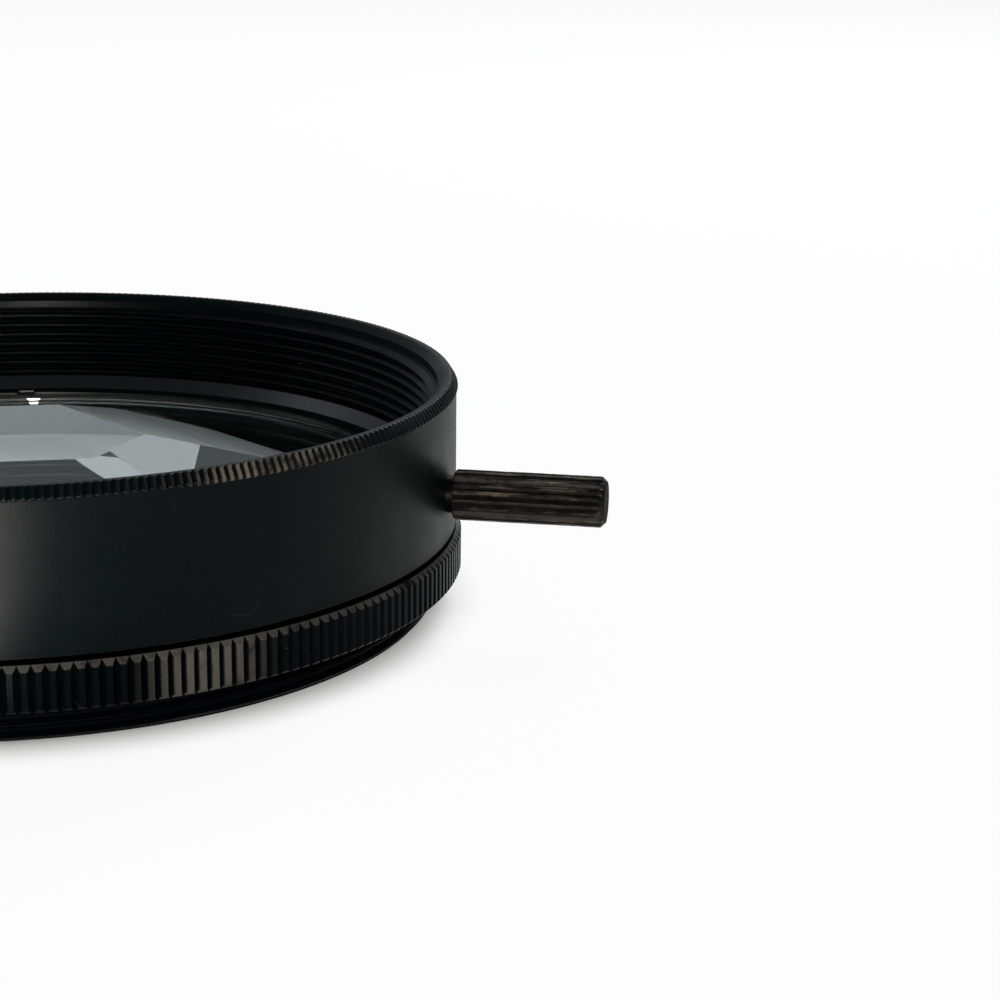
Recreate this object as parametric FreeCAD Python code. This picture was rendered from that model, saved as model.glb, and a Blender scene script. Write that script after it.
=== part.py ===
import FreeCAD, Part
import math
import os

# Rotating star effect filter, in millimetres.
# The origin is on the optical axis at the rear end of the male thread.
# +Z runs along the axis to the front rim, and +X along the handle.

# Rear thread and shoulder
thread_r = 29.0             # crests of the 58 mm thread
thread_depth = 0.4          # crest to root, the same on both threads
thread_length = 1.95
thread_wall = 2.0
relief_width = 0.43         # undercut between the thread and the shoulder
relief_depth = 0.55

# Serrated grip on the mounting ring
grip_height = 2.91
grip_proud = 0.38           # how far the grip stands out past the barrel
grip_bevel = 0.35
serration_count = 240
serration_depth = 0.3
floor_thickness = 2.6       # from the rear end to the floor of the bearing bore

# Rotating barrel
barrel_wall = 1.5           # outside the thread roots
barrel_height = 10.03
ring_gap = 0.3              # between facing ends of the two rings
running_clearance = 0.06
spigot_inset = 0.4          # spigot inside the crests of the front thread

# Rim, as it is turned before knurling
rim_bevel_height = 0.6
rim_bevel_width = 0.28

# Front thread
lead_in_clearance = 0.19    # outside the thread roots
lead_in_depth = 1.05
front_thread_length = 3.0   # four turns for whatever screws in from the front
front_thread_taper = 0.5    # from their crests out to the roots, where the retaining ring's crests run

# Prism glass
seat_height = 2.5           # glass seat above the end of the spigot
seat_width = 1.4
glass_inset = 1.0           # glass rim inside the front thread
glass_clearance = 0.05
flange_thickness = 2.35
prism_rise = 3.58           # table above the flange
table_long_inset = 7.45     # axis to the long sides of the table, which take turns with the short ones
table_short_inset = 8.6
facet_angle = 16.2
facet_count = 6
facet_turn = 49.8           # direction that the first long side faces, from +X

# Retaining ring and cushion
cushion_thickness = 0.2
cushion_inset = 0.1
retaining_height = 1.25
retaining_lip = 1.0         # how far it reaches over the glass
retaining_cone_height = 0.95
retaining_cone_width = 0.6
retaining_clearance = 0.02
pocket_step = 0.1           # the pocket ends this far below the top of the flange
slot_width = 1.2
slot_depth = 0.7
slot_count = 2
slot_turn = 108.0

# Snap ring, of square wire
snap_section = 0.9
snap_offset = 0.08          # middle of the wire outside the spigot
snap_clearance = 0.05
snap_play = 0.1
snap_opening = 12.0         # degrees
snap_turn = 200.0

# Handle and its screw
handle_r = 1.7
handle_length = 10.55       # from the barrel's side to the tip
handle_height = 3.18        # axis above the lower edge of the barrel
handle_bevel = 0.33         # at the tip
handle_neck_r = 1.25        # plain neck that bears on the barrel
handle_neck_length = 0.45
flute_count = 18
flute_depth = 0.17
flute_land = 0.3
screw_r = 0.98
screw_clearance = 0.02
screw_in_handle = 3.4
screw_end_gap = 0.1
screw_slot_width = 0.3
screw_slot_depth = 0.5
hole_floor = 0.45           # metal left between the tapped hole and the roots of the front thread

cut_margin = 1.0            # how far a cut runs past the face that it opens

# Radii that follow from these
front_thread_r = thread_r - thread_depth
rear_aperture_r = thread_r - thread_wall
barrel_r = thread_r + barrel_wall
grip_r = barrel_r + grip_proud
spigot_r = front_thread_r - spigot_inset
bearing_r = spigot_r + running_clearance
glass_r = front_thread_r - glass_inset
pocket_r = glass_r + glass_clearance
seat_aperture_r = glass_r - seat_width
snap_r = spigot_r + snap_offset
lead_in_r = thread_r + lead_in_clearance

# Heights that follow from these
shoulder_z = thread_length + relief_width
grip_top = shoulder_z + grip_height
barrel_bottom = grip_top + ring_gap
rim_z = barrel_bottom + barrel_height
spigot_bottom = floor_thickness + ring_gap
snap_z = (floor_thickness + grip_top) / 2
snap_groove_half = snap_section / 2 + snap_clearance
seat_z = spigot_bottom + seat_height
flange_top = seat_z + flange_thickness
cushion_top = flange_top + cushion_thickness
retaining_top = cushion_top + retaining_height
lead_in_bottom = rim_z - lead_in_depth
front_thread_top = lead_in_bottom - thread_depth / 2
front_thread_bottom = front_thread_top - front_thread_length
handle_z = barrel_bottom + handle_height

axis = FreeCAD.Vector(0, 0, 1)
centre = FreeCAD.Vector(0, 0, 0)


def revolve(profile, angle=360.0):
    """Turn a closed outline of (radius, height) points about the optical axis."""
    points = [FreeCAD.Vector(r, 0, z) for r, z in profile]
    outline = Part.makePolygon(points + points[:1])
    return Part.Face(outline).revolve(centre, axis, angle)


def fluted_outline():
    """Corners of the handle's section: V flutes between flat lands that cover a share of the pitch."""
    pitch = 2 * math.pi / flute_count
    corners = []
    for flute in range(flute_count):
        start = flute * pitch
        corners.append((handle_r - flute_depth, start))
        corners.append((handle_r, start + pitch * (1 - flute_land) / 2))
        corners.append((handle_r, start + pitch * (1 + flute_land) / 2))
    return [(r * math.cos(turn), r * math.sin(turn)) for r, turn in corners]


def flat_sided(polygons):
    """Closed solid from its flat faces, each a list of corners."""
    faces = [Part.Face(Part.makePolygon(corners + corners[:1])) for corners in polygons]
    solid = Part.makeSolid(Part.makeShell(faces))
    solid.fix(1e-6, 1e-6, 1e-6)
    return solid


def between(low, high):
    """Side faces from one ring of corners up to the next."""
    sides = []
    for i in range(len(low)):
        j = (i + 1) % len(low)
        sides.append([low[i], low[j], high[j], high[i]])
    return sides


def prismatoid(outline, levels):
    """Closed solid that follows an outline up through (scale, height) levels."""
    rings = []
    for scale, z in levels:
        rings.append([FreeCAD.Vector(x * scale, y * scale, z) for x, y in outline])
    sides = []
    for low, high in zip(rings, rings[1:]):
        sides += between(low, high)
    return flat_sided(sides + [rings[0], rings[-1]])


def along_x(shape, start_x, z):
    """Lay a shape that was built along +Z down along +X, with its foot at start_x."""
    shape.rotate(centre, FreeCAD.Vector(0, 1, 0), 90)
    shape.translate(FreeCAD.Vector(start_x, 0, z))
    return shape


def serrated_grip():
    """Disc with V serrations, whose tips are bevelled back to the roots at the top."""
    def corner(r, tooth, z):
        turn = 2 * math.pi * (tooth % serration_count) / serration_count
        return FreeCAD.Vector(r * math.cos(turn), r * math.sin(turn), z)

    root_r = grip_r - serration_depth
    sides = []
    bottom = []
    top = []
    for tooth in range(serration_count):
        left = corner(root_r, tooth, shoulder_z)
        left_top = corner(root_r, tooth, grip_top)
        tip = corner(grip_r, tooth + 0.5, shoulder_z)
        tip_top = corner(grip_r, tooth + 0.5, grip_top - grip_bevel)
        right = corner(root_r, tooth + 1, shoulder_z)
        right_top = corner(root_r, tooth + 1, grip_top)
        sides.append([left, tip, tip_top, left_top])
        sides.append([tip, right, right_top, tip_top])
        sides.append([left_top, tip_top, right_top])
        bottom += [left, tip]
        top.append(left_top)
    return flat_sided(sides + [bottom, top])


def mounting_ring():
    groove_r = snap_r + snap_section / 2 + snap_clearance
    thread = revolve([
        (rear_aperture_r, 0),
        (thread_r, 0),
        (thread_r, thread_length),
        (thread_r - relief_depth, thread_length),
        (thread_r - relief_depth, shoulder_z),
        (rear_aperture_r, shoulder_z),
    ])
    bore = revolve([
        (0, shoulder_z),
        (rear_aperture_r, shoulder_z),
        (rear_aperture_r, floor_thickness),
        (bearing_r, floor_thickness),
        (bearing_r, snap_z - snap_groove_half),
        (groove_r, snap_z - snap_groove_half),
        (groove_r, snap_z + snap_groove_half),
        (bearing_r, snap_z + snap_groove_half),
        (bearing_r, grip_top),
        (0, grip_top),
    ])
    return thread.fuse(serrated_grip()).cut(bore).removeSplitter()


def rotating_barrel():
    groove_r = snap_r - snap_section / 2 - snap_play
    blank = revolve([
        (seat_aperture_r, spigot_bottom),
        (spigot_r, spigot_bottom),
        (spigot_r, snap_z - snap_groove_half),
        (groove_r, snap_z - snap_groove_half),
        (groove_r, snap_z + snap_groove_half),
        (spigot_r, snap_z + snap_groove_half),
        (spigot_r, barrel_bottom),
        (barrel_r, barrel_bottom),
        (barrel_r, rim_z - rim_bevel_height),
        (barrel_r - rim_bevel_width, rim_z),
        (lead_in_r, rim_z),
        (lead_in_r, lead_in_bottom),
        (front_thread_r, front_thread_top),
        (front_thread_r, front_thread_bottom),
        (thread_r, front_thread_bottom - front_thread_taper),
        (thread_r, flange_top - pocket_step),
        (pocket_r, flange_top - pocket_step),
        (pocket_r, seat_z),
        (seat_aperture_r, seat_z),
    ])
    hole_r = screw_r + screw_clearance
    hole_bottom = thread_r + hole_floor
    hole = Part.makeCylinder(hole_r, barrel_r - hole_bottom + cut_margin)
    hole = along_x(hole, hole_bottom, handle_z)
    return blank.cut(hole)


def facet_corners(growth, z):
    """Corners of the table at height z, with every side moved out by the same growth."""
    insets = [(table_long_inset, table_short_inset)[i % 2] + growth for i in range(facet_count)]
    step = 2 * math.pi / facet_count
    corners = []
    for i in range(facet_count):
        inset = insets[i]
        next_inset = insets[(i + 1) % facet_count]
        along = (next_inset - inset * math.cos(step)) / math.sin(step)
        turn = math.radians(facet_turn) + i * step
        x = inset * math.cos(turn) - along * math.sin(turn)
        y = inset * math.sin(turn) + along * math.cos(turn)
        corners.append(FreeCAD.Vector(x, y, z))
    return corners


def prism_glass():
    flange = Part.makeCylinder(glass_r, flange_thickness, FreeCAD.Vector(0, 0, seat_z))
    foot = facet_corners(prism_rise / math.tan(math.radians(facet_angle)), flange_top)
    table = facet_corners(0, flange_top + prism_rise)
    facets = flat_sided(between(foot, table) + [foot, table])
    return flange.fuse(facets).removeSplitter()


def cushion_ring():
    inner = glass_r - retaining_lip + cushion_inset
    outer = glass_r - cushion_inset
    return revolve([(inner, flange_top), (outer, flange_top), (outer, cushion_top), (inner, cushion_top)])


def retaining_ring():
    inner = glass_r - retaining_lip
    outer = thread_r - retaining_clearance
    cone_top = front_thread_r
    cone_bottom = retaining_top - retaining_cone_height
    ring = revolve([
        (inner, cushion_top),
        (outer, cushion_top),
        (outer, retaining_top),
        (cone_top, retaining_top),
        (cone_top - retaining_cone_width, cone_bottom),
        (inner, cone_bottom),
    ])
    for i in range(slot_count):
        slot = Part.makeBox(slot_depth + cut_margin, slot_width, retaining_height + 2 * cut_margin)
        slot.translate(FreeCAD.Vector(inner - cut_margin, -slot_width / 2, cushion_top - cut_margin))
        slot.rotate(centre, axis, slot_turn + 360.0 * i / slot_count)
        ring = ring.cut(slot)
    return ring


def snap_ring():
    half = snap_section / 2
    inner = snap_r - half
    outer = snap_r + half
    low = snap_z - half
    high = snap_z + half
    wire = revolve([(inner, low), (outer, low), (outer, high), (inner, high)], 360.0 - snap_opening)
    wire.rotate(centre, axis, snap_turn + snap_opening / 2)
    return wire


def handle():
    rod = prismatoid(fluted_outline(), [
        (1, handle_neck_length),
        (1, handle_length - handle_bevel),
        (1 - handle_bevel / handle_r, handle_length),
    ])
    neck = Part.makeCylinder(handle_neck_r, handle_neck_length)
    hole = Part.makeCylinder(screw_r + screw_clearance, screw_in_handle + screw_end_gap)
    return along_x(rod.fuse(neck).cut(hole).removeSplitter(), barrel_r, handle_z)


def handle_screw():
    start = thread_r + hole_floor + screw_clearance
    length = barrel_r + screw_in_handle - start
    screw = Part.makeCylinder(screw_r, length)
    slot_length = 2 * (screw_r + cut_margin)
    slot = Part.makeBox(slot_length, screw_slot_width, screw_slot_depth + cut_margin)
    slot.translate(FreeCAD.Vector(-slot_length / 2, -screw_slot_width / 2, length - screw_slot_depth))
    return along_x(screw.cut(slot), start, handle_z)


pieces = {
    "mounting_ring": mounting_ring,
    "rotating_barrel": rotating_barrel,
    "prism_glass": prism_glass,
    "cushion_ring": cushion_ring,
    "retaining_ring": retaining_ring,
    "snap_ring": snap_ring,
    "handle": handle,
    "handle_screw": handle_screw,
}

os.makedirs("parts", exist_ok=True)
for name, make in pieces.items():
    shape = make()
    shape.exportStep("parts/" + name + ".step")
    box = shape.BoundBox
    print(name, len(shape.Solids), "solid", "valid" if shape.isValid() else "not valid",
          round(shape.Volume, 1), "mm3, z", round(box.ZMin, 2), "to", round(box.ZMax, 2))
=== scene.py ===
import bpy
import math
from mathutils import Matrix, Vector, noise


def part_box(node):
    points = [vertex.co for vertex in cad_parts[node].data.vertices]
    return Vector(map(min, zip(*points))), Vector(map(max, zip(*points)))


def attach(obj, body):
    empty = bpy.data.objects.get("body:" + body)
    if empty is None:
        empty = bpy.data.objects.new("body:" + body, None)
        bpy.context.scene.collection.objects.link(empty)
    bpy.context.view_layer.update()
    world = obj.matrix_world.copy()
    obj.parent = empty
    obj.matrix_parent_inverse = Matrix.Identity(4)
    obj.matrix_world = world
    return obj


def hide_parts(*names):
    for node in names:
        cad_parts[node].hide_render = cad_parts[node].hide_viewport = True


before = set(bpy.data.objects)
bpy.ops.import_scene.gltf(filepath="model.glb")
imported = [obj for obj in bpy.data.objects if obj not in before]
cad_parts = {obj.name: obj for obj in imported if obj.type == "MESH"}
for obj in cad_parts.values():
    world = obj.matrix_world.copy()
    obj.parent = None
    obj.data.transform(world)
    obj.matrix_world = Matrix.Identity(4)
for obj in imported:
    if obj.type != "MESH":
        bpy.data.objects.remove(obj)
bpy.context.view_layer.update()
mm = 0.001
print("frame loaded")


# camera, floor and light

cameraView = {
    "place": (0.057754, -0.148268, 0.04978),
    "turn": (74.6435, -0.6084, 9.2845),  # degrees
    "lens": 84.72,
    "sensor": 36,
    "nearClip": 0.005,
}

studio = {
    "floorSize": 4.0,
    "floorColour": (0.92, 0.92, 0.91),
    "backdropShare": 0.92,  # how much of the floor's white doesn't depend on the lamps
    "mirrorShare": 0.25,  # the same as mirror rays see it
    "shade": (0.027, 0.033),  # inside this ring the paper under the object is lit by the lamps alone
    "roomColour": (0.88, 0.97, 1.0),
    "backWall": 0.42,
    "backWallEdge": (-0.9, -0.1),  # cosine to the camera's side, from the full wall to none of it
    "room": 0.12,  # the rest of the room
    "ceiling": 1.4,  # how much brighter it is overhead
    "ceilingEdge": (0.3, 0.9),  # the same upwards
    "lamps": [
        # name, place, aim, width, height, watts, colour
        ("softboxFront", (0.112, -0.487, 0.068), (0.0, 0.0, 0.01), 0.12, 0.12, 1.8, (1.0, 0.94, 0.85)),
        ("cardFront", (0.0154, -0.0585, 0.006), (0.0110, -0.0390, 0.1),
         0.009, 0.05, 0.024, (1.0, 0.95, 0.88)),
        ("softboxBack", (0.15, 0.44, 0.40), (0.0, 0.0, 0.0), 0.30, 0.30, 2.2, (0.97, 1.0, 1.0)),
        ("softboxLeft", (-0.45, 0.0, 0.25), (0.0, 0.0, 0.01), 0.24, 0.24, 0.22, (0.92, 0.98, 1.0)),
        ("softboxRight", (0.46, -0.16, 0.42), (0.0, 0.0, 0.01), 0.12, 0.12, 0.5, (0.94, 0.98, 1.0)),
    ],
}


def addCamera():
    turn = [math.radians(angle) for angle in cameraView["turn"]]
    bpy.ops.object.camera_add(location=cameraView["place"], rotation=turn)
    camera = bpy.context.object
    camera.name = "photoCamera"
    camera.data.sensor_width = cameraView["sensor"]
    camera.data.lens = cameraView["lens"]
    camera.data.clip_start = cameraView["nearClip"]
    bpy.context.scene.camera = camera


def addFloor():
    bpy.ops.object.select_all(action="DESELECT")
    bpy.ops.mesh.primitive_plane_add(size=studio["floorSize"])
    floor = bpy.context.object
    floor.name = "studioFloor"
    material = bpy.data.materials.new("studioFloorPaper")
    material.use_nodes = True
    nodes = material.node_tree.nodes
    links = material.node_tree.links
    nodes.clear()
    paper = nodes.new("ShaderNodeBsdfDiffuse")
    paper.inputs["Color"].default_value = (*studio["floorColour"], 1)
    white = nodes.new("ShaderNodeEmission")
    white.inputs["Strength"].default_value = 1.0
    path = nodes.new("ShaderNodeLightPath")
    mirrored = nodes.new("ShaderNodeMath")
    mirrored.operation = "MULTIPLY"
    mirrored.inputs[1].default_value = studio["mirrorShare"]
    links.new(path.outputs["Is Glossy Ray"], mirrored.inputs[0])
    seen = nodes.new("ShaderNodeMath")
    seen.operation = "MAXIMUM"
    links.new(path.outputs["Is Camera Ray"], seen.inputs[0])
    links.new(mirrored.outputs[0], seen.inputs[1])
    seenThrough = nodes.new("ShaderNodeMath")
    seenThrough.operation = "MAXIMUM"
    links.new(seen.outputs[0], seenThrough.inputs[0])
    links.new(path.outputs["Is Transmission Ray"], seenThrough.inputs[1])
    place = nodes.new("ShaderNodeTexCoord")
    reach = nodes.new("ShaderNodeVectorMath")
    reach.operation = "LENGTH"
    links.new(place.outputs["Object"], reach.inputs[0])
    beyond = nodes.new("ShaderNodeMapRange")
    beyond.interpolation_type = "SMOOTHSTEP"
    beyond.inputs["From Min"].default_value = studio["shade"][0]
    beyond.inputs["From Max"].default_value = studio["shade"][1]
    beyond.inputs["To Max"].default_value = studio["backdropShare"]
    links.new(reach.outputs["Value"], beyond.inputs["Value"])
    share = nodes.new("ShaderNodeMath")
    share.operation = "MULTIPLY"
    links.new(seenThrough.outputs[0], share.inputs[0])
    links.new(beyond.outputs["Result"], share.inputs[1])
    mix = nodes.new("ShaderNodeMixShader")
    links.new(share.outputs[0], mix.inputs["Fac"])
    links.new(paper.outputs[0], mix.inputs[1])
    links.new(white.outputs[0], mix.inputs[2])
    output = nodes.new("ShaderNodeOutputMaterial")
    links.new(mix.outputs[0], output.inputs["Surface"])
    floor.data.materials.append(material)


def lightRoom():
    # white for the camera, and for the rest a dim room with a pale wall at the far side
    world = bpy.data.worlds.new("studioRoom")
    bpy.context.scene.world = world
    world.use_nodes = True
    nodes = world.node_tree.nodes
    links = world.node_tree.links
    nodes.clear()
    place = nodes.new("ShaderNodeTexCoord")
    toCamera = Vector((cameraView["place"][0], cameraView["place"][1], 0)).normalized()
    facing = nodes.new("ShaderNodeVectorMath")
    facing.operation = "DOT_PRODUCT"
    facing.inputs[1].default_value = toCamera
    links.new(place.outputs["Generated"], facing.inputs[0])
    dark = nodes.new("ShaderNodeMapRange")
    dark.interpolation_type = "SMOOTHSTEP"
    dark.inputs["From Min"].default_value = studio["backWallEdge"][0]
    dark.inputs["From Max"].default_value = studio["backWallEdge"][1]
    dark.inputs["To Min"].default_value = studio["backWall"]
    dark.inputs["To Max"].default_value = studio["room"]
    links.new(facing.outputs["Value"], dark.inputs["Value"])
    split = nodes.new("ShaderNodeSeparateXYZ")
    links.new(place.outputs["Generated"], split.inputs[0])
    overhead = nodes.new("ShaderNodeMapRange")
    overhead.interpolation_type = "SMOOTHSTEP"
    overhead.inputs["From Min"].default_value = studio["ceilingEdge"][0]
    overhead.inputs["From Max"].default_value = studio["ceilingEdge"][1]
    overhead.inputs["To Min"].default_value = 1.0
    overhead.inputs["To Max"].default_value = studio["ceiling"]
    links.new(split.outputs["Z"], overhead.inputs["Value"])
    room = nodes.new("ShaderNodeMath")
    room.operation = "MULTIPLY"
    links.new(dark.outputs["Result"], room.inputs[0])
    links.new(overhead.outputs["Result"], room.inputs[1])
    roomLight = nodes.new("ShaderNodeBackground")
    roomLight.inputs["Color"].default_value = (*studio["roomColour"], 1)
    links.new(room.outputs[0], roomLight.inputs["Strength"])
    white = nodes.new("ShaderNodeBackground")
    path = nodes.new("ShaderNodeLightPath")
    mix = nodes.new("ShaderNodeMixShader")
    links.new(path.outputs["Is Camera Ray"], mix.inputs["Fac"])
    links.new(roomLight.outputs[0], mix.inputs[1])
    links.new(white.outputs[0], mix.inputs[2])
    output = nodes.new("ShaderNodeOutputWorld")
    links.new(mix.outputs[0], output.inputs["Surface"])
    for name, spot, aim, width, height, watts, colour in studio["lamps"]:
        direction = Vector(aim) - Vector(spot)
        bpy.ops.object.light_add(type="AREA", location=spot)
        lamp = bpy.context.object
        lamp.name = name
        lamp.rotation_euler = direction.to_track_quat("-Z", "Y").to_euler()
        lamp.data.shape = "ELLIPSE"
        lamp.data.size = width
        lamp.data.size_y = height
        lamp.data.energy = watts
        lamp.data.color = colour
        lamp.visible_camera = False


addCamera()
addFloor()
lightRoom()
bpy.context.scene.view_settings.view_transform = "Standard"
print("camera, floor and light set")


# shared surface effects, as node groups

def newGroup(name, inputs, outputs):
    group = bpy.data.node_groups.new(name, "ShaderNodeTree")
    for label, value in inputs:
        socket = group.interface.new_socket(label, in_out="INPUT", socket_type="NodeSocketFloat")
        socket.default_value = value
    for label in outputs:
        group.interface.new_socket(label, in_out="OUTPUT", socket_type="NodeSocketFloat")
    start = group.nodes.new("NodeGroupInput")
    end = group.nodes.new("NodeGroupOutput")
    return group, start, end


def addMath(tree, operation, first, second=None):
    node = tree.nodes.new("ShaderNodeMath")
    node.operation = operation
    for socket, value in zip(node.inputs, (first, second)):
        if value is None:
            continue
        if isinstance(value, (int, float)):
            socket.default_value = value
        else:
            tree.links.new(value, socket)
    return node.outputs[0]


def addRange(tree, value, low, high, outLow=0.0, outHigh=1.0):
    node = tree.nodes.new("ShaderNodeMapRange")
    node.interpolation_type = "SMOOTHSTEP"
    tree.links.new(value, node.inputs["Value"])
    for label, number in (("From Min", low), ("From Max", high), ("To Min", outLow), ("To Max", outHigh)):
        if isinstance(number, (int, float)):
            node.inputs[label].default_value = number
        else:
            tree.links.new(number, node.inputs[label])
    return node.outputs["Result"]


def addNoise(tree, vector, scale, detail=2.0, roughness=0.5):
    node = tree.nodes.new("ShaderNodeTexNoise")
    node.inputs["Detail"].default_value = detail
    node.inputs["Roughness"].default_value = roughness
    if isinstance(scale, (int, float)):
        node.inputs["Scale"].default_value = scale
    else:
        tree.links.new(scale, node.inputs["Scale"])
    tree.links.new(vector, node.inputs["Vector"])
    return node.outputs["Fac"]


def turningMarksGroup():
    # fine rings left by the lathe round the optical axis, broken up a little along the way
    group, start, end = newGroup("turningMarks", [("Fineness", 9000.0), ("Breaks", 1.2)], ["Marks"])
    place = group.nodes.new("ShaderNodeTexCoord")
    split = group.nodes.new("ShaderNodeSeparateXYZ")
    group.links.new(place.outputs["Object"], split.inputs[0])
    across = addMath(group, "MULTIPLY", split.outputs["X"], split.outputs["X"])
    along = addMath(group, "MULTIPLY", split.outputs["Y"], split.outputs["Y"])
    radius = addMath(group, "SQRT", addMath(group, "ADD", across, along))
    angle = addMath(group, "ARCTAN2", split.outputs["Y"], split.outputs["X"])
    join = group.nodes.new("ShaderNodeCombineXYZ")
    for label, value in (("X", radius), ("Y", split.outputs["Z"])):
        group.links.new(addMath(group, "MULTIPLY", value, start.outputs["Fineness"]), join.inputs[label])
    group.links.new(addMath(group, "MULTIPLY", angle, start.outputs["Breaks"]), join.inputs["Z"])
    group.links.new(addNoise(group, join.outputs[0], 1.0, 3.0), end.inputs["Marks"])
    return group


def blastedGrainGroup():
    # the fine pebbled skin that blasting leaves under the black finish
    group, start, end = newGroup("blastedGrain", [("Grain", 9000.0), ("Clouds", 150.0)], ["Grain", "Clouds"])
    place = group.nodes.new("ShaderNodeTexCoord")
    pebbles = addNoise(group, place.outputs["Object"], start.outputs["Grain"], 2.0, 0.6)
    group.links.new(addRange(group, pebbles, 0.3, 0.7), end.inputs["Grain"])
    clouds = addNoise(group, place.outputs["Object"], start.outputs["Clouds"], 3.0, 0.55)
    group.links.new(addRange(group, clouds, 0.35, 0.65), end.inputs["Clouds"])
    return group


def wornEdgesAndSheenGroup():
    # rubbed metal on the edges marked while modelling, patchy from place to place; on the rim and grip teeth
    # the marks also hold a painted highlight, shown the same way as bare metal
    inputs = [("Reach", 0.6), ("Patches", 400.0), ("Stretch", 1.0), ("Cover", 0.5), ("Amount", 1.0)]
    group, start, end = newGroup("wornEdgesAndSheen", inputs, ["Worn"])
    marked = group.nodes.new("ShaderNodeAttribute")
    marked.attribute_name = "rubbed"
    place = group.nodes.new("ShaderNodeTexCoord")
    limit = addMath(group, "SUBTRACT", 1.0, start.outputs["Reach"])
    edge = addRange(group, marked.outputs["Fac"], limit, 1.0)
    spread = addMath(group, "SUBTRACT", 1.0, start.outputs["Cover"])
    split = group.nodes.new("ShaderNodeSeparateXYZ")
    group.links.new(place.outputs["Object"], split.inputs[0])
    drawn = group.nodes.new("ShaderNodeCombineXYZ")  # patches drawn out along X
    stretched = addMath(group, "DIVIDE", split.outputs["X"], start.outputs["Stretch"])
    for label, value in (("X", stretched), ("Y", split.outputs["Y"]), ("Z", split.outputs["Z"])):
        group.links.new(value, drawn.inputs[label])
    patches = addNoise(group, drawn.outputs[0], start.outputs["Patches"], 5.0, 0.62)
    low = addMath(group, "SUBTRACT", spread, 0.1)
    high = addMath(group, "ADD", spread, 0.12)
    worn = addMath(group, "MULTIPLY", edge, addRange(group, patches, low, high))
    group.links.new(addMath(group, "MULTIPLY", worn, start.outputs["Amount"]), end.inputs["Worn"])
    return group


def dustAndScratchesGroup():
    # single dust grains, and fine hairline scratches that run every way
    inputs = [("Grains", 700.0), ("Grain Size", 0.05), ("Scratches", 160.0), ("Scratch Width", 0.004)]
    group, start, end = newGroup("dustAndScratches", inputs, ["Dust", "Scratches"])
    place = group.nodes.new("ShaderNodeTexCoord")
    grains = group.nodes.new("ShaderNodeTexVoronoi")
    group.links.new(place.outputs["Object"], grains.inputs["Vector"])
    group.links.new(start.outputs["Grains"], grains.inputs["Scale"])
    pick = group.nodes.new("ShaderNodeSeparateColor")
    group.links.new(grains.outputs["Color"], pick.inputs[0])
    mostlySmall = addMath(group, "POWER", pick.outputs[0], 4.0)
    size = addMath(group, "MULTIPLY", mostlySmall, start.outputs["Grain Size"])
    near = addMath(group, "SUBTRACT", size, grains.outputs["Distance"])
    group.links.new(addRange(group, near, 0.0, 0.02), end.inputs["Dust"])
    hair = addNoise(group, place.outputs["Object"], start.outputs["Scratches"], 1.0)
    line = addMath(group, "ABSOLUTE", addMath(group, "SUBTRACT", hair, 0.5))
    thin = addMath(group, "SUBTRACT", start.outputs["Scratch Width"], line)
    where = addRange(group, addNoise(group, place.outputs["Object"], 230.0, 2.0), 0.58, 0.7)
    drawn = addRange(group, thin, 0.0, 0.003)
    group.links.new(addMath(group, "MULTIPLY", drawn, where), end.inputs["Scratches"])
    return group


turningMarks = turningMarksGroup()
blastedGrain = blastedGrainGroup()
wornEdgesAndSheen = wornEdgesAndSheenGroup()
dustAndScratches = dustAndScratchesGroup()


def placeGroup(tree, group, **values):
    node = tree.nodes.new("ShaderNodeGroup")
    node.node_tree = group
    for label, value in values.items():
        node.inputs[label.replace("_", " ")].default_value = value
    return node


def blendColours(tree, mask, under, over):
    node = tree.nodes.new("ShaderNodeMix")
    node.data_type = "RGBA"
    tree.links.new(mask, node.inputs["Factor"])
    for socket, value in ((node.inputs["A"], under), (node.inputs["B"], over)):
        if isinstance(value, tuple):
            socket.default_value = (*value, 1)
        else:
            tree.links.new(value, socket)
    return node.outputs["Result"]


def newMaterial(name):
    material = bpy.data.materials.new(name)
    material.use_nodes = True
    return material, material.node_tree, material.node_tree.nodes["Principled BSDF"]


# black anodised metal

satinBlack = {
    "colour": (0.0002, 0.0008, 0.0010),
    # bare metal colour for rubbed teeth, also used for the painted highlight sector on the rim
    "bare": (0.22, 0.18, 0.145),
    "roughness": 0.38,
    "gloss": 0.075,  # specular level
    "grainDepth": 0.01,  # millimetres
    "wear": 0.6,
    "cover": 0.5,
    "dustSize": 0.05,
}
gripBlack = {
    "colour": (0.0002, 0.0006, 0.0008),
    # bare metal colour for rubbed teeth, also used for the painted highlight sector on the serrations
    "bare": (0.22, 0.20, 0.18),
    "roughness": 0.24,
    "gloss": 0.04,
    "grainDepth": 0.003,
    "wear": 0.32,
    "cover": 0.6,
    "dustSize": 0.04,
}
clampBlack = {
    "colour": (0.0004, 0.0009, 0.0011),
    "bare": (0.24, 0.22, 0.20),
    "roughness": 0.33,
    "gloss": 0.5,
    "grainDepth": 0.002,
    "wear": 0.3,
    "cover": 0.5,
    "dustSize": 0.03,
}

blackWear = {
    "paler": 3.0,  # the light side of the grain against the finish's colour
    "dust": 0.3,
    "dustColour": (0.26, 0.25, 0.24),
    "dustRoughness": 0.4,
    "hairlines": 0.025,
    "hairlineColour": (0.20, 0.20, 0.19),
    "bareMetal": 0.85,
    "roughnessSpread": 0.03,
    "grainStrength": 0.3,
}


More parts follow.
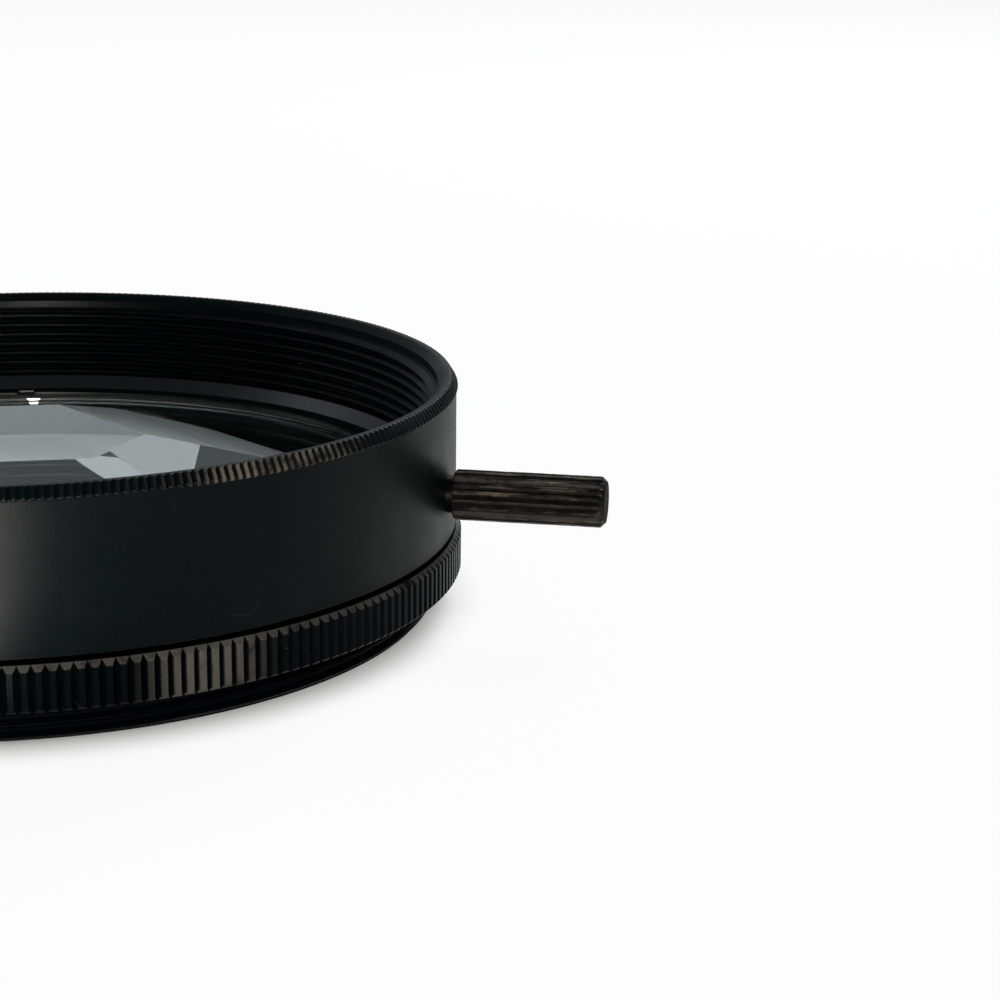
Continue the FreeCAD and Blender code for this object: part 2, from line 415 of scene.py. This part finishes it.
def anodisedBlack(name, look):
    material, tree, surface = newMaterial(name)
    skin = placeGroup(tree, blastedGrain)
    worn = placeGroup(tree, wornEdgesAndSheen, Amount=look["wear"], Cover=look["cover"]).outputs["Worn"]
    specks = placeGroup(tree, dustAndScratches, Grain_Size=look["dustSize"])
    paler = tuple(channel * blackWear["paler"] for channel in look["colour"])
    colour = blendColours(tree, skin.outputs["Grain"], look["colour"], paler)
    # bare metal where edges are rubbed; on the rim and grip teeth this also paints a highlight in one sector
    # round the axis
    colour = blendColours(tree, worn, colour, look["bare"])
    dust = addMath(tree, "MULTIPLY", specks.outputs["Dust"], blackWear["dust"])
    colour = blendColours(tree, dust, colour, blackWear["dustColour"])
    hairlines = addMath(tree, "MULTIPLY", specks.outputs["Scratches"], blackWear["hairlines"])
    colour = blendColours(tree, hairlines, colour, blackWear["hairlineColour"])
    tree.links.new(colour, surface.inputs["Base Color"])
    tree.links.new(addMath(tree, "MULTIPLY", worn, blackWear["bareMetal"]), surface.inputs["Metallic"])
    smoothest = look["roughness"] - blackWear["roughnessSpread"]
    roughest = look["roughness"] + blackWear["roughnessSpread"]
    rough = addRange(tree, skin.outputs["Clouds"], 0.0, 1.0, smoothest, roughest)
    dusty = addMath(tree, "MULTIPLY", specks.outputs["Dust"], blackWear["dustRoughness"])
    tree.links.new(addMath(tree, "ADD", rough, dusty), surface.inputs["Roughness"])
    surface.inputs["Specular IOR Level"].default_value = look["gloss"]
    bump = tree.nodes.new("ShaderNodeBump")
    bump.inputs["Strength"].default_value = blackWear["grainStrength"]
    bump.inputs["Distance"].default_value = look["grainDepth"] * mm
    tree.links.new(skin.outputs["Grain"], bump.inputs["Height"])
    tree.links.new(bump.outputs[0], surface.inputs["Normal"])
    return material


barrelMaterial = anodisedBlack("satinBlackBarrel", satinBlack)
gripMaterial = anodisedBlack("semiGlossBlackGrip", gripBlack)
clampMaterial = anodisedBlack("satinBlackClampRing", clampBlack)
print("metal finishes made")


# modelling helpers

def startPoint(name, radius, height):
    bpy.ops.object.select_all(action="DESELECT")
    bpy.ops.mesh.primitive_plane_add(size=0.001)
    piece = bpy.context.object
    piece.name = name
    piece.data.name = name
    bpy.ops.object.mode_set(mode="EDIT")
    bpy.ops.mesh.merge(type="CENTER")
    bpy.ops.transform.translate(value=(radius * mm, 0, height * mm))
    return piece


def drawOn(points):
    for (r0, z0), (r1, z1) in zip(points, points[1:]):
        step = ((r1 - r0) * mm, 0, (z1 - z0) * mm)
        bpy.ops.mesh.extrude_vertices_move(TRANSFORM_OT_translate={"value": step})


def turnedPiece(name, outline, steps, closed=True):
    # an outline in millimetres (radius, height), turned once round the optical axis
    points = outline + outline[:1] if closed else outline
    piece = startPoint(name, *points[0])
    drawOn(points)
    bpy.ops.mesh.select_all(action="SELECT")
    bpy.ops.mesh.remove_doubles(threshold=0.000001)
    bpy.ops.mesh.select_all(action="SELECT")
    bpy.ops.mesh.spin(steps=steps, angle=2 * math.pi, center=(0, 0, 0), axis=(0, 0, 1))
    bpy.ops.mesh.select_all(action="SELECT")
    bpy.ops.mesh.remove_doubles(threshold=0.000001)
    bpy.ops.mesh.normals_make_consistent(inside=False)
    bpy.ops.object.mode_set(mode="OBJECT")
    return piece


def softenEdges(piece, width, segments=2, degrees=25):
    select(piece)
    bpy.ops.object.modifier_add(type="BEVEL")
    bevel = piece.modifiers[-1]
    bevel.width = width * mm
    bevel.segments = segments
    bevel.limit_method = "ANGLE"
    bevel.angle_limit = math.radians(degrees)
    bevel.use_clamp_overlap = True
    bpy.ops.object.modifier_apply(modifier=bevel.name)


def select(*pieces):
    bpy.ops.object.select_all(action="DESELECT")
    for piece in pieces:
        piece.select_set(True)
    bpy.context.view_layer.objects.active = pieces[0]


def joined(body, *extras):
    select(body, *extras)
    bpy.ops.object.join()
    return body


def shadeSmooth(piece, degrees=28):
    select(piece)
    bpy.ops.object.shade_smooth_by_angle(angle=math.radians(degrees))


def dress(piece, material, body, node):
    piece.data.materials.clear()
    piece.data.materials.append(material)
    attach(piece, body)
    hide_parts(node)


filterThread = {
    "crest": 0.11, "flank": 0.235, "pitch": 0.75, "rounding": 0.035,
    "overlap": 0.05,  # how far its roots sink into the wall behind them
    "steps": 540,
}


def threadBand(name, crest, root, low, turns):
    # one groove and ridge for each turn, carried round and up by one pitch
    ridge = crest - math.copysign(filterThread["rounding"], crest - root)
    flat = filterThread["pitch"] - filterThread["crest"] - 2 * filterThread["flank"]
    points = [(root, low)]
    for turn in range(turns):
        foot = low + turn * filterThread["pitch"] + flat
        points.append((root, foot))
        points.append((ridge, foot + filterThread["flank"]))
        points.append((crest, foot + filterThread["flank"] + filterThread["crest"] / 2))
        points.append((ridge, foot + filterThread["flank"] + filterThread["crest"]))
        points.append((root, foot + 2 * filterThread["flank"] + filterThread["crest"]))
    band = startPoint(name, *points[0])
    drawOn(points)
    bpy.ops.object.mode_set(mode="OBJECT")
    bpy.ops.object.modifier_add(type="SCREW")
    screw = band.modifiers[-1]
    screw.angle = 2 * math.pi
    screw.screw_offset = filterThread["pitch"] * mm
    screw.steps = filterThread["steps"]
    screw.render_steps = filterThread["steps"]
    screw.use_merge_vertices = True
    screw.merge_threshold = 0.000002
    bpy.ops.object.modifier_apply(modifier=screw.name)
    return band


def reshape(piece, rule):
    # rule takes radius, angle and height in millimetres, and gives them back with how rubbed the place is;
    # on the rim and grip teeth this value also holds a painted highlight sector
    rubbed = piece.data.attributes.new("rubbed", "FLOAT", "POINT")
    for corner in piece.data.vertices:
        x, y, z = corner.co
        radius, angle, height, rub = rule(math.hypot(x, y) / mm, math.atan2(y, x), z / mm)
        corner.co = (radius * math.cos(angle) * mm, radius * math.sin(angle) * mm, height * mm)
        rubbed.data[corner.index].value = rub
    piece.data.update()


def nearness(angle, place):
    # 1 at a place round the axis, and less away from it; place holds the middle and the spread in degrees
    middle, spread = place
    away = (math.degrees(angle) - middle + 180) % 360 - 180
    return math.exp(-(away / spread) ** 2)


# rotating barrel: plain satin side, knurled rim, filter thread inside

barrelLow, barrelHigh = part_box("rotating_barrel")
glassLow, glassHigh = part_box("prism_glass")
clampLow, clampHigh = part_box("retaining_ring")
ringLow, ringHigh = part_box("mounting_ring")

barrelShape = {
    "radius": barrelHigh[1] / mm,
    "rim": barrelHigh[2] / mm,
    "foot": ringHigh[2] / mm + 0.3,
    "spigotFoot": barrelLow[2] / mm,
    "spigot": 28.2,
    "snapGroove": (27.73, 3.445, 4.445),  # floor radius, low and high edge
    "aperture": 26.2,
    "seat": glassLow[2] / mm,
    "pocket": 27.65,
    "pocketTop": 7.65,
    "threadRoot": 29.0,
    "threadCrest": 28.6,
    "threadBelowClamp": 0.8,  # how far it goes on below the clamp ring's top
    "threadEntry": 0.2,  # height of the chamfer where it starts
    "leadIn": 29.19,
    "leadInDepth": 1.05,
    "leadInChamfer": 0.5,
    "bead": 0.1,
    "beadHeight": 0.82,
    "bevelHeight": 0.6,
    "bevelWidth": 0.38,
    "knurls": 360,
    "knurlDepth": 0.18,
    "knurlLand": 0.3,
    "rubbed": 0.45,  # how rubbed the teeth are everywhere
    "paintedHighlightAt": (-38.0, 10.0),  # degrees round the axis of a painted highlight, where the teeth get the bare-metal colour as if lit, and how far it spreads
    "softness": 0.05,
}


def makeBarrel():
    shape = barrelShape
    rim = shape["rim"]
    beadFoot = rim - shape["beadHeight"]
    beadRadius = shape["radius"] + shape["bead"]
    leadInFoot = rim - shape["leadInDepth"]
    backing = shape["threadRoot"] + filterThread["overlap"]
    groove, grooveLow, grooveHigh = shape["snapGroove"]
    outline = [
        (shape["aperture"], shape["spigotFoot"]),
        (shape["spigot"], shape["spigotFoot"]),
        (shape["spigot"], grooveLow),
        (groove, grooveLow),
        (groove, grooveHigh),
        (shape["spigot"], grooveHigh),
        (shape["spigot"], shape["foot"]),
        (shape["radius"], shape["foot"]),
        (shape["radius"], beadFoot),
        (beadRadius, beadFoot + shape["bead"]),
        (beadRadius, rim - shape["bevelHeight"]),
        (beadRadius - shape["bevelWidth"], rim),
        (shape["leadIn"] + shape["leadInChamfer"], rim),
        (shape["leadIn"], rim - shape["leadInChamfer"]),
        (shape["leadIn"], leadInFoot),
        (backing, leadInFoot),
        (backing, shape["pocketTop"]),
        (shape["pocket"], shape["pocketTop"]),
        (shape["pocket"], shape["seat"]),
        (shape["aperture"], shape["seat"]),
    ]
    steps = shape["knurls"] * 3
    barrel = turnedPiece("rotatingBarrel", outline, steps)
    softenEdges(barrel, shape["softness"])
    pitch = 2 * math.pi / shape["knurls"]
    slant = (shape["bevelWidth"] + shape["knurlDepth"]) / shape["beadHeight"]
    shift = (1 / 3 - shape["knurlLand"]) / 2

    def knurl(radius, angle, height):
        if height < beadFoot - 0.01 or radius < shape["leadIn"] + shape["leadInChamfer"] + 0.1:
            foot = radius > shape["radius"] - 0.1 and height < shape["foot"] + 0.03
            return radius, angle, height, 0.7 if foot else 0.0
        column = round(angle / pitch * 3)
        wander = noise.noise(Vector((math.floor(column / 3) * 0.37, height * 0.6, 3.1)))
        if column % 3 == 0:
            root = beadRadius - slant * (height - beadFoot) + 0.03 * wander
            return min(radius, root), angle, height, 0.0
        side = 1 if column % 3 == 1 else -1
        flat = radius < beadRadius - shape["bevelWidth"] - 0.02
        # real rubbing on every tooth, raised to full bare metal inside the painted highlight sector
        rub = shape["rubbed"] + (1 - shape["rubbed"]) * nearness(angle, shape["paintedHighlightAt"])
        return radius - 0.012 * abs(wander), angle + side * shift * pitch, height, 0.0 if flat else rub

    reshape(barrel, knurl)
    crest = shape["threadCrest"]
    low = clampHigh[2] / mm - shape["threadBelowClamp"]
    turns = math.ceil((leadInFoot - low) / filterThread["pitch"]) + 1
    thread = threadBand("frontThread", crest, shape["threadRoot"], low, turns)

    def leadIn(radius, angle, height):
        if height > leadInFoot:
            return shape["leadIn"] + filterThread["overlap"], angle, leadInFoot + 0.02, 0.0
        entered = (height - leadInFoot) / shape["threadEntry"] + 1
        chamfer = crest + entered * (shape["leadIn"] - crest)
        onCrest = radius < crest + 0.02
        return max(radius, chamfer), angle, height, 0.6 if onCrest else 0.0

    reshape(thread, leadIn)
    barrel = joined(barrel, thread)
    shadeSmooth(barrel)
    dress(barrel, barrelMaterial, "rotor", "rotating_barrel")
    print("barrel", len(barrel.data.polygons), "faces")
    return barrel


# mounting ring: serrated grip and male filter thread

gripShape = {
    "radius": ringHigh[1] / mm,
    "top": ringHigh[2] / mm,
    "shoulder": 2.38,
    "topBevel": 0.35,
    "footBevel": 0.2,
    "serrations": 240,
    "serrationDepth": 0.3,
    "serrationLand": 0.42,
    "rubbed": (0.22, 0.75),  # how rubbed the teeth are everywhere, on the land and on the bevel
    # degrees round the axis of a painted highlight, where the serrations get the bare-metal colour as if
    # lit, and how far it spreads
    "paintedHighlightAt": (-48.0, 8.0),
    "bearing": 28.26,
    "snapGroove": (28.78, 3.445, 4.445),
    "floor": 2.6,
    "aperture": 27.0,
    "undercut": 28.45,
    "threadCrest": 29.0,
    "threadRoot": 28.6,
    "threadLength": 1.95,
    "threadChamfer": 0.3,
    "softness": 0.04,
}


def makeMountingRing():
    shape = gripShape
    groove, grooveLow, grooveHigh = shape["snapGroove"]
    backing = shape["threadRoot"] - filterThread["overlap"]
    outline = [
        (shape["aperture"], 0),
        (backing, 0),
        (backing, shape["threadLength"]),
        (shape["undercut"], shape["threadLength"]),
        (shape["undercut"], shape["shoulder"]),
        (shape["radius"] - shape["footBevel"], shape["shoulder"]),
        (shape["radius"], shape["shoulder"] + shape["footBevel"]),
        (shape["radius"], shape["top"] - shape["topBevel"] - 0.12),
        (shape["radius"], shape["top"] - shape["topBevel"]),
        (shape["radius"] - shape["serrationDepth"] * 0.5, shape["top"] - shape["topBevel"] + 0.15),
        (shape["radius"] - shape["serrationDepth"], shape["top"] - shape["topBevel"] + 0.3),
        (shape["radius"] - shape["topBevel"], shape["top"]),
        (shape["bearing"], shape["top"]),
        (shape["bearing"], grooveHigh),
        (groove, grooveHigh),
        (groove, grooveLow),
        (shape["bearing"], grooveLow),
        (shape["bearing"], shape["floor"]),
        (shape["aperture"], shape["floor"]),
    ]
    ring = turnedPiece("mountingRing", outline, shape["serrations"] * 3)
    pitch = 2 * math.pi / shape["serrations"]
    root = shape["radius"] - shape["serrationDepth"]
    land = shape["serrationLand"]

    def serrate(radius, angle, height):
        if radius < root - 0.001 or height < shape["shoulder"] - 0.01:
            return radius, angle, height, 0.0
        column = round(angle / pitch * 3)
        if column % 3 == 0:
            return root, angle, height, 0.0
        # the land of a tooth grows wider where a bevel cuts it lower
        width = land + (1 - land) * (shape["radius"] - radius) / shape["serrationDepth"]
        shift = (min(width, 0.97) - 1 / 3) / 2
        side = -1 if column % 3 == 1 else 1
        wander = noise.noise(Vector((math.floor(column / 3) * 0.41, height * 0.5, 7.7)))
        atBevel = height > shape["top"] - shape["topBevel"] - 0.02
        rub = shape["rubbed"][1 if atBevel else 0]
        # real rubbing, raised to full bare metal inside the painted highlight sector
        rub += (1 - rub) * nearness(angle, shape["paintedHighlightAt"])
        return radius - 0.01 * abs(wander), angle + side * shift * pitch, height, rub

    reshape(ring, serrate)
    turns = math.ceil(shape["threadLength"] / filterThread["pitch"]) + 2
    thread = threadBand(
        "rearThread", shape["threadCrest"], shape["threadRoot"], -filterThread["pitch"], turns)

    def runOut(radius, angle, height):
        if height > shape["threadLength"]:
            return shape["undercut"] - filterThread["overlap"], angle, shape["threadLength"] + 0.02, 0.0
        height = max(height, 0)
        onCrest = radius > shape["threadCrest"] - 0.02
        radius = min(radius, shape["threadCrest"] - shape["threadChamfer"] + height)
        return radius, angle, height, 0.6 if onCrest else 0.0

    reshape(thread, runOut)
    ring = joined(ring, thread)
    shadeSmooth(ring)
    dress(ring, gripMaterial, "mount", "mounting_ring")
    print("mounting ring", len(ring.data.polygons), "faces")
    return ring


# prism glass: disc with a six-sided table and sloping facets

glassShape = {
    "radius": glassHigh[1] / mm,
    "low": glassLow[2] / mm,
    "flangeTop": 7.75,
    "high": glassHigh[2] / mm,
    "insets": (7.45, 8.6),  # from the axis to the long and the short sides of the table
    "facetAngle": 16.2,
    "facets": 6,
    "turn": 49.8,
    "polishedEdge": 0.035,
    "rimEdge": 0.2,
    "block": 26.0,  # radius of the block that the facets are cut from
    "sink": 0.5,  # how far the facets go down inside the disc
}

glassLook = {
    "marks": {"Grains": 420.0, "Grain_Size": 0.04, "Scratches": 90.0, "Scratch_Width": 0.0015},
    "colour": (0.96, 0.985, 0.975),
    "refraction": 1.52,
    "haze": 0.2,
    "shadow": (0.88, 0.9, 0.89),  # what the glass lets through to its shadow
}


def prismMaterial():
    material, tree, surface = newMaterial("polishedPrismGlass")
    surface.inputs["Base Color"].default_value = (*glassLook["colour"], 1)
    surface.inputs["Transmission Weight"].default_value = 1.0
    surface.inputs["IOR"].default_value = glassLook["refraction"]
    grains = placeGroup(tree, dustAndScratches, **glassLook["marks"])
    haze = addMath(tree, "MAXIMUM", grains.outputs["Dust"], grains.outputs["Scratches"])
    tree.links.new(addMath(tree, "MULTIPLY", haze, glassLook["haze"]), surface.inputs["Roughness"])
    clear = tree.nodes.new("ShaderNodeBsdfTransparent")
    clear.inputs["Color"].default_value = (*glassLook["shadow"], 1)
    path = tree.nodes.new("ShaderNodeLightPath")
    mix = tree.nodes.new("ShaderNodeMixShader")
    tree.links.new(path.outputs["Is Shadow Ray"], mix.inputs["Fac"])
    tree.links.new(surface.outputs[0], mix.inputs[1])
    tree.links.new(clear.outputs[0], mix.inputs[2])
    tree.links.new(mix.outputs[0], tree.nodes["Material Output"].inputs["Surface"])
    return material


def makePrism():
    shape = glassShape
    edge = shape["rimEdge"]
    disc = turnedPiece("prismGlass", [
        (0, shape["low"]),
        (shape["radius"] - edge, shape["low"]),
        (shape["radius"], shape["low"] + edge),
        (shape["radius"], shape["flangeTop"] - edge),
        (shape["radius"] - edge, shape["flangeTop"]),
        (0, shape["flangeTop"]),
    ], 360, closed=False)
    low = shape["flangeTop"] - shape["sink"]
    tall = shape["high"] - low
    bpy.ops.object.select_all(action="DESELECT")
    bpy.ops.mesh.primitive_cylinder_add(
        vertices=64, radius=shape["block"] * mm, depth=tall * mm, location=(0, 0, (low + tall / 2) * mm))
    facets = bpy.context.object
    bpy.ops.object.transform_apply(location=True, rotation=True, scale=True)
    bpy.ops.object.mode_set(mode="EDIT")
    tilt = math.radians(shape["facetAngle"])
    for index in range(shape["facets"]):
        # one straight cut for each facet, as on a grinding wheel
        turn = math.radians(shape["turn"] + 360 * index / shape["facets"])
        outward = Vector((math.cos(turn), math.sin(turn), 0))
        through = outward * shape["insets"][index % 2] * mm + Vector((0, 0, shape["high"] * mm))
        bpy.ops.mesh.select_all(action="SELECT")
        bpy.ops.mesh.bisect(
            plane_co=through,
            plane_no=outward * math.sin(tilt) + Vector((0, 0, math.cos(tilt))),
            use_fill=True,
            clear_outer=True,
        )
    bpy.ops.mesh.select_all(action="SELECT")
    bpy.ops.mesh.remove_doubles(threshold=0.000001)
    bpy.ops.mesh.normals_make_consistent(inside=False)
    bpy.ops.object.mode_set(mode="OBJECT")
    select(disc)
    bpy.ops.object.modifier_add(type="BOOLEAN")
    union = disc.modifiers[-1]
    union.operation = "UNION"
    union.solver = "EXACT"
    union.object = facets
    bpy.ops.object.modifier_apply(modifier=union.name)
    bpy.data.objects.remove(facets)
    softenEdges(disc, shape["polishedEdge"], segments=1, degrees=8)
    shadeSmooth(disc, 6)
    dress(disc, prismMaterial(), "rotor", "prism_glass")
    print("prism", len(disc.data.polygons), "faces")
    return disc


# clamp ring over the glass

clampShape = {
    "inner": 26.6,
    "outer": 28.62,
    "low": clampLow[2] / mm,
    "high": clampHigh[2] / mm,
    "coneTop": 28.56,
    "coneFoot": (28.0, 8.25),  # radius and height
    "slots": 2,
    "slotTurn": 108.0,
    "slotWidth": 1.2,
    "slotDepth": 0.7,
    "cutterReach": 1.0,  # how far the slot's cutter stands out into the opening
    "cutterHeight": 4.0,
    "softness": 0.04,
}


def makeClampRing():
    shape = clampShape
    ring = turnedPiece("clampRing", [
        (shape["inner"], shape["low"]),
        (shape["outer"], shape["low"]),
        (shape["outer"], shape["high"]),
        (shape["coneTop"], shape["high"]),
        shape["coneFoot"],
        (shape["inner"], shape["coneFoot"][1]),
    ], 360)
    for index in range(shape["slots"]):
        turn = math.radians(shape["slotTurn"] + 360 * index / shape["slots"])
        reach = (shape["inner"] + shape["slotDepth"] / 2 - shape["cutterReach"] / 2) * mm
        bpy.ops.object.select_all(action="DESELECT")
        spot = (reach * math.cos(turn), reach * math.sin(turn), shape["low"] * mm)
        bpy.ops.mesh.primitive_cube_add(size=1, location=spot)
        cutter = bpy.context.object
        depth = shape["slotDepth"] + shape["cutterReach"]
        cutter.scale = (depth * mm, shape["slotWidth"] * mm, shape["cutterHeight"] * mm)
        cutter.rotation_euler = (0, 0, turn)
        select(ring)
        bpy.ops.object.modifier_add(type="BOOLEAN")
        cut = ring.modifiers[-1]
        cut.operation = "DIFFERENCE"
        cut.solver = "EXACT"
        cut.object = cutter
        bpy.ops.object.modifier_apply(modifier=cut.name)
        bpy.data.objects.remove(cutter)
    softenEdges(ring, shape["softness"])
    shadeSmooth(ring)
    dress(ring, clampMaterial, "rotor", "retaining_ring")
    print("clamp ring", len(ring.data.polygons), "faces")
    return ring


# fluted handle

handleLow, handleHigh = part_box("handle")

handleShape = {
    "start": handleLow[0] / mm,
    "length": (handleHigh[0] - handleLow[0]) / mm,
    "height": (handleHigh[2] + handleLow[2]) / 2 / mm,
    "radius": 1.7,
    "neck": (1.25, 0.45),  # radius and length
    "flutes": 18,
    "fluteDepth": 0.17,
    "fluteLand": 0.3,
    "baseBevel": 0.12,
    "bevel": 0.33,
    "rows": 64,
    "rub": 0.03,
    "rubbed": (0.0, 0.2, 1.0, 0.6),  # from the root of a flute to the middle of a land
}
brassLook = {
    "dark": (0.0030, 0.0023, 0.0020),
    "stained": (0.008, 0.0058, 0.0046),
    "worn": (0.22, 0.175, 0.14),
    # painted shade: near-black colour for the neck, where the handle meets the barrel
    "neckPaintedShade": (0.0004, 0.0004, 0.0005),
    "rubbing": {"Reach": 0.7, "Patches": 1500.0, "Stretch": 5.0, "Cover": 0.44, "Amount": 0.55},
    "bareMetal": 0.9,
    "stains": 900.0,  # how fine they are
    "roughness": (0.25, 0.42),
    "dullEnd": 0.5,  # how much rougher the end face is
    "gloss": 0.14,
    "grainDepth": 0.02,  # millimetres
    "grainStrength": 0.5,
}


def blackenedBrass():
    material, tree, surface = newMaterial("blackenedBrassHandle")
    place = tree.nodes.new("ShaderNodeTexCoord")
    look = brassLook
    ridges = placeGroup(tree, wornEdgesAndSheen, **look["rubbing"])
    worn = ridges.outputs["Worn"]
    stain = addNoise(tree, place.outputs["Object"], look["stains"], 5.0, 0.65)
    dark = blendColours(tree, addRange(tree, stain, 0.4, 0.7), look["dark"], look["stained"])
    colour = blendColours(tree, worn, dark, look["worn"])
    split = tree.nodes.new("ShaderNodeSeparateXYZ")
    tree.links.new(place.outputs["Object"], split.inputs[0])
    # painted shade over the neck, blended in up to where the neck ends
    neckEnd = (handleShape["start"] + handleShape["neck"][1]) * mm
    neckShadeMask = addRange(tree, split.outputs["X"], neckEnd - 0.02 * mm, neckEnd + 0.04 * mm, 1.0, 0.0)
    colour = blendColours(tree, neckShadeMask, colour, look["neckPaintedShade"])
    tree.links.new(colour, surface.inputs["Base Color"])
    tree.links.new(addMath(tree, "MULTIPLY", worn, look["bareMetal"]), surface.inputs["Metallic"])
    rough = addRange(tree, stain, 0.3, 0.7, *look["roughness"])
    atEnd = addRange(tree, split.outputs["X"], handleHigh[0] - 0.05 * mm, handleHigh[0] - 0.02 * mm)
    dull = addMath(tree, "MULTIPLY", atEnd, look["dullEnd"])
    tree.links.new(addMath(tree, "ADD", rough, dull), surface.inputs["Roughness"])
    surface.inputs["Specular IOR Level"].default_value = look["gloss"]
    bump = tree.nodes.new("ShaderNodeBump")
    bump.inputs["Strength"].default_value = look["grainStrength"]
    bump.inputs["Distance"].default_value = look["grainDepth"] * mm
    tree.links.new(stain, bump.inputs["Height"])
    tree.links.new(bump.outputs[0], surface.inputs["Normal"])
    return material


def makeHandle():
    shape = handleShape
    full = shape["radius"]
    bevel = shape["bevel"]
    root = full - shape["fluteDepth"]
    neckRadius, neckLength = shape["neck"]
    first = neckLength + shape["baseBevel"]
    span = shape["length"] - bevel - first
    outline = [(0, 0), (neckRadius, 0), (neckRadius, neckLength), (full - shape["baseBevel"], neckLength)]
    outline += [(full, first + span * row / shape["rows"]) for row in range(shape["rows"] + 1)]
    outline += [
        (root, shape["length"] - bevel + full - root),
        (full - bevel, shape["length"]),
        (0, shape["length"]),
    ]
    steps = shape["flutes"] * 6
    rod = turnedPiece("flutedHandle", outline, steps, closed=False)
    pitch = 2 * math.pi / shape["flutes"]

    def flute(radius, angle, height):
        column = round(angle / pitch * 6)
        fromRoot = abs((column % 6) / 6 - 0.5)  # 0.5 at a root, 0 on the middle of a land
        depth = max(0, (fromRoot - shape["fluteLand"] / 2) / (0.5 - shape["fluteLand"] / 2))
        rub = noise.noise(Vector((column * 0.9, height * 1.7, 1.3)))
        nick = noise.noise(Vector((column * 1.7, height * 5.0, 9.2)))
        limit = full - shape["fluteDepth"] * depth - shape["rub"] * (abs(rub) + 0.6 * max(nick, 0))
        mark = shape["rubbed"][min(column % 6, -column % 6)]
        return min(radius, limit), angle, height, mark if radius > root + 0.01 else 0.0

    reshape(rod, flute)
    rod.rotation_euler = (0, math.pi / 2, 0)
    rod.location = (shape["start"] * mm, 0, shape["height"] * mm)
    select(rod)
    bpy.ops.object.transform_apply(location=True, rotation=True, scale=True)
    shadeSmooth(rod, 24)
    dress(rod, blackenedBrass(), "rotor", "handle")
    print("handle", len(rod.data.polygons), "faces")
    return rod


# the three inner pieces keep their own meshes and get a finish

innerLook = {
    "wire": (0.42, 0.42, 0.43),
    "wireRoughness": 0.3,
    "screw": (0.38, 0.38, 0.39),
    "screwRoughness": 0.34,
    "turning": 14000.0,  # how fine the lathe's rings are
    "rubber": ((0.012, 0.012, 0.012), (0.03, 0.03, 0.029)),
    "rubberGrain": 2500.0,
}


def plainSteel(name, colour, roughness):
    material, tree, surface = newMaterial(name)
    marks = placeGroup(tree, turningMarks, Fineness=innerLook["turning"]).outputs["Marks"]
    pale = tuple(min(1, channel * 1.25) for channel in colour)
    tree.links.new(blendColours(tree, marks, colour, pale), surface.inputs["Base Color"])
    surface.inputs["Metallic"].default_value = 1.0
    rough = addRange(tree, marks, 0.2, 0.8, roughness - 0.06, roughness + 0.08)
    tree.links.new(rough, surface.inputs["Roughness"])
    return material


def cushionRubber():
    material, tree, surface = newMaterial("cushionRubber")
    place = tree.nodes.new("ShaderNodeTexCoord")
    grain = addNoise(tree, place.outputs["Object"], innerLook["rubberGrain"], 3.0)
    colour = blendColours(tree, grain, *innerLook["rubber"])
    tree.links.new(colour, surface.inputs["Base Color"])
    tree.links.new(addRange(tree, grain, 0.3, 0.7, 0.7, 0.9), surface.inputs["Roughness"])
    return material


def finishHidden():
    finishes = {
        "snap_ring": plainSteel("springSteelWire", innerLook["wire"], innerLook["wireRoughness"]),
        "handle_screw": plainSteel("turnedSteelScrew", innerLook["screw"], innerLook["screwRoughness"]),
        "cushion_ring": cushionRubber(),
    }
    for node, material in finishes.items():
        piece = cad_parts[node]
        piece.data.materials.clear()
        piece.data.materials.append(material)


makeBarrel()
makeMountingRing()
makePrism()
makeClampRing()
makeHandle()
finishHidden()
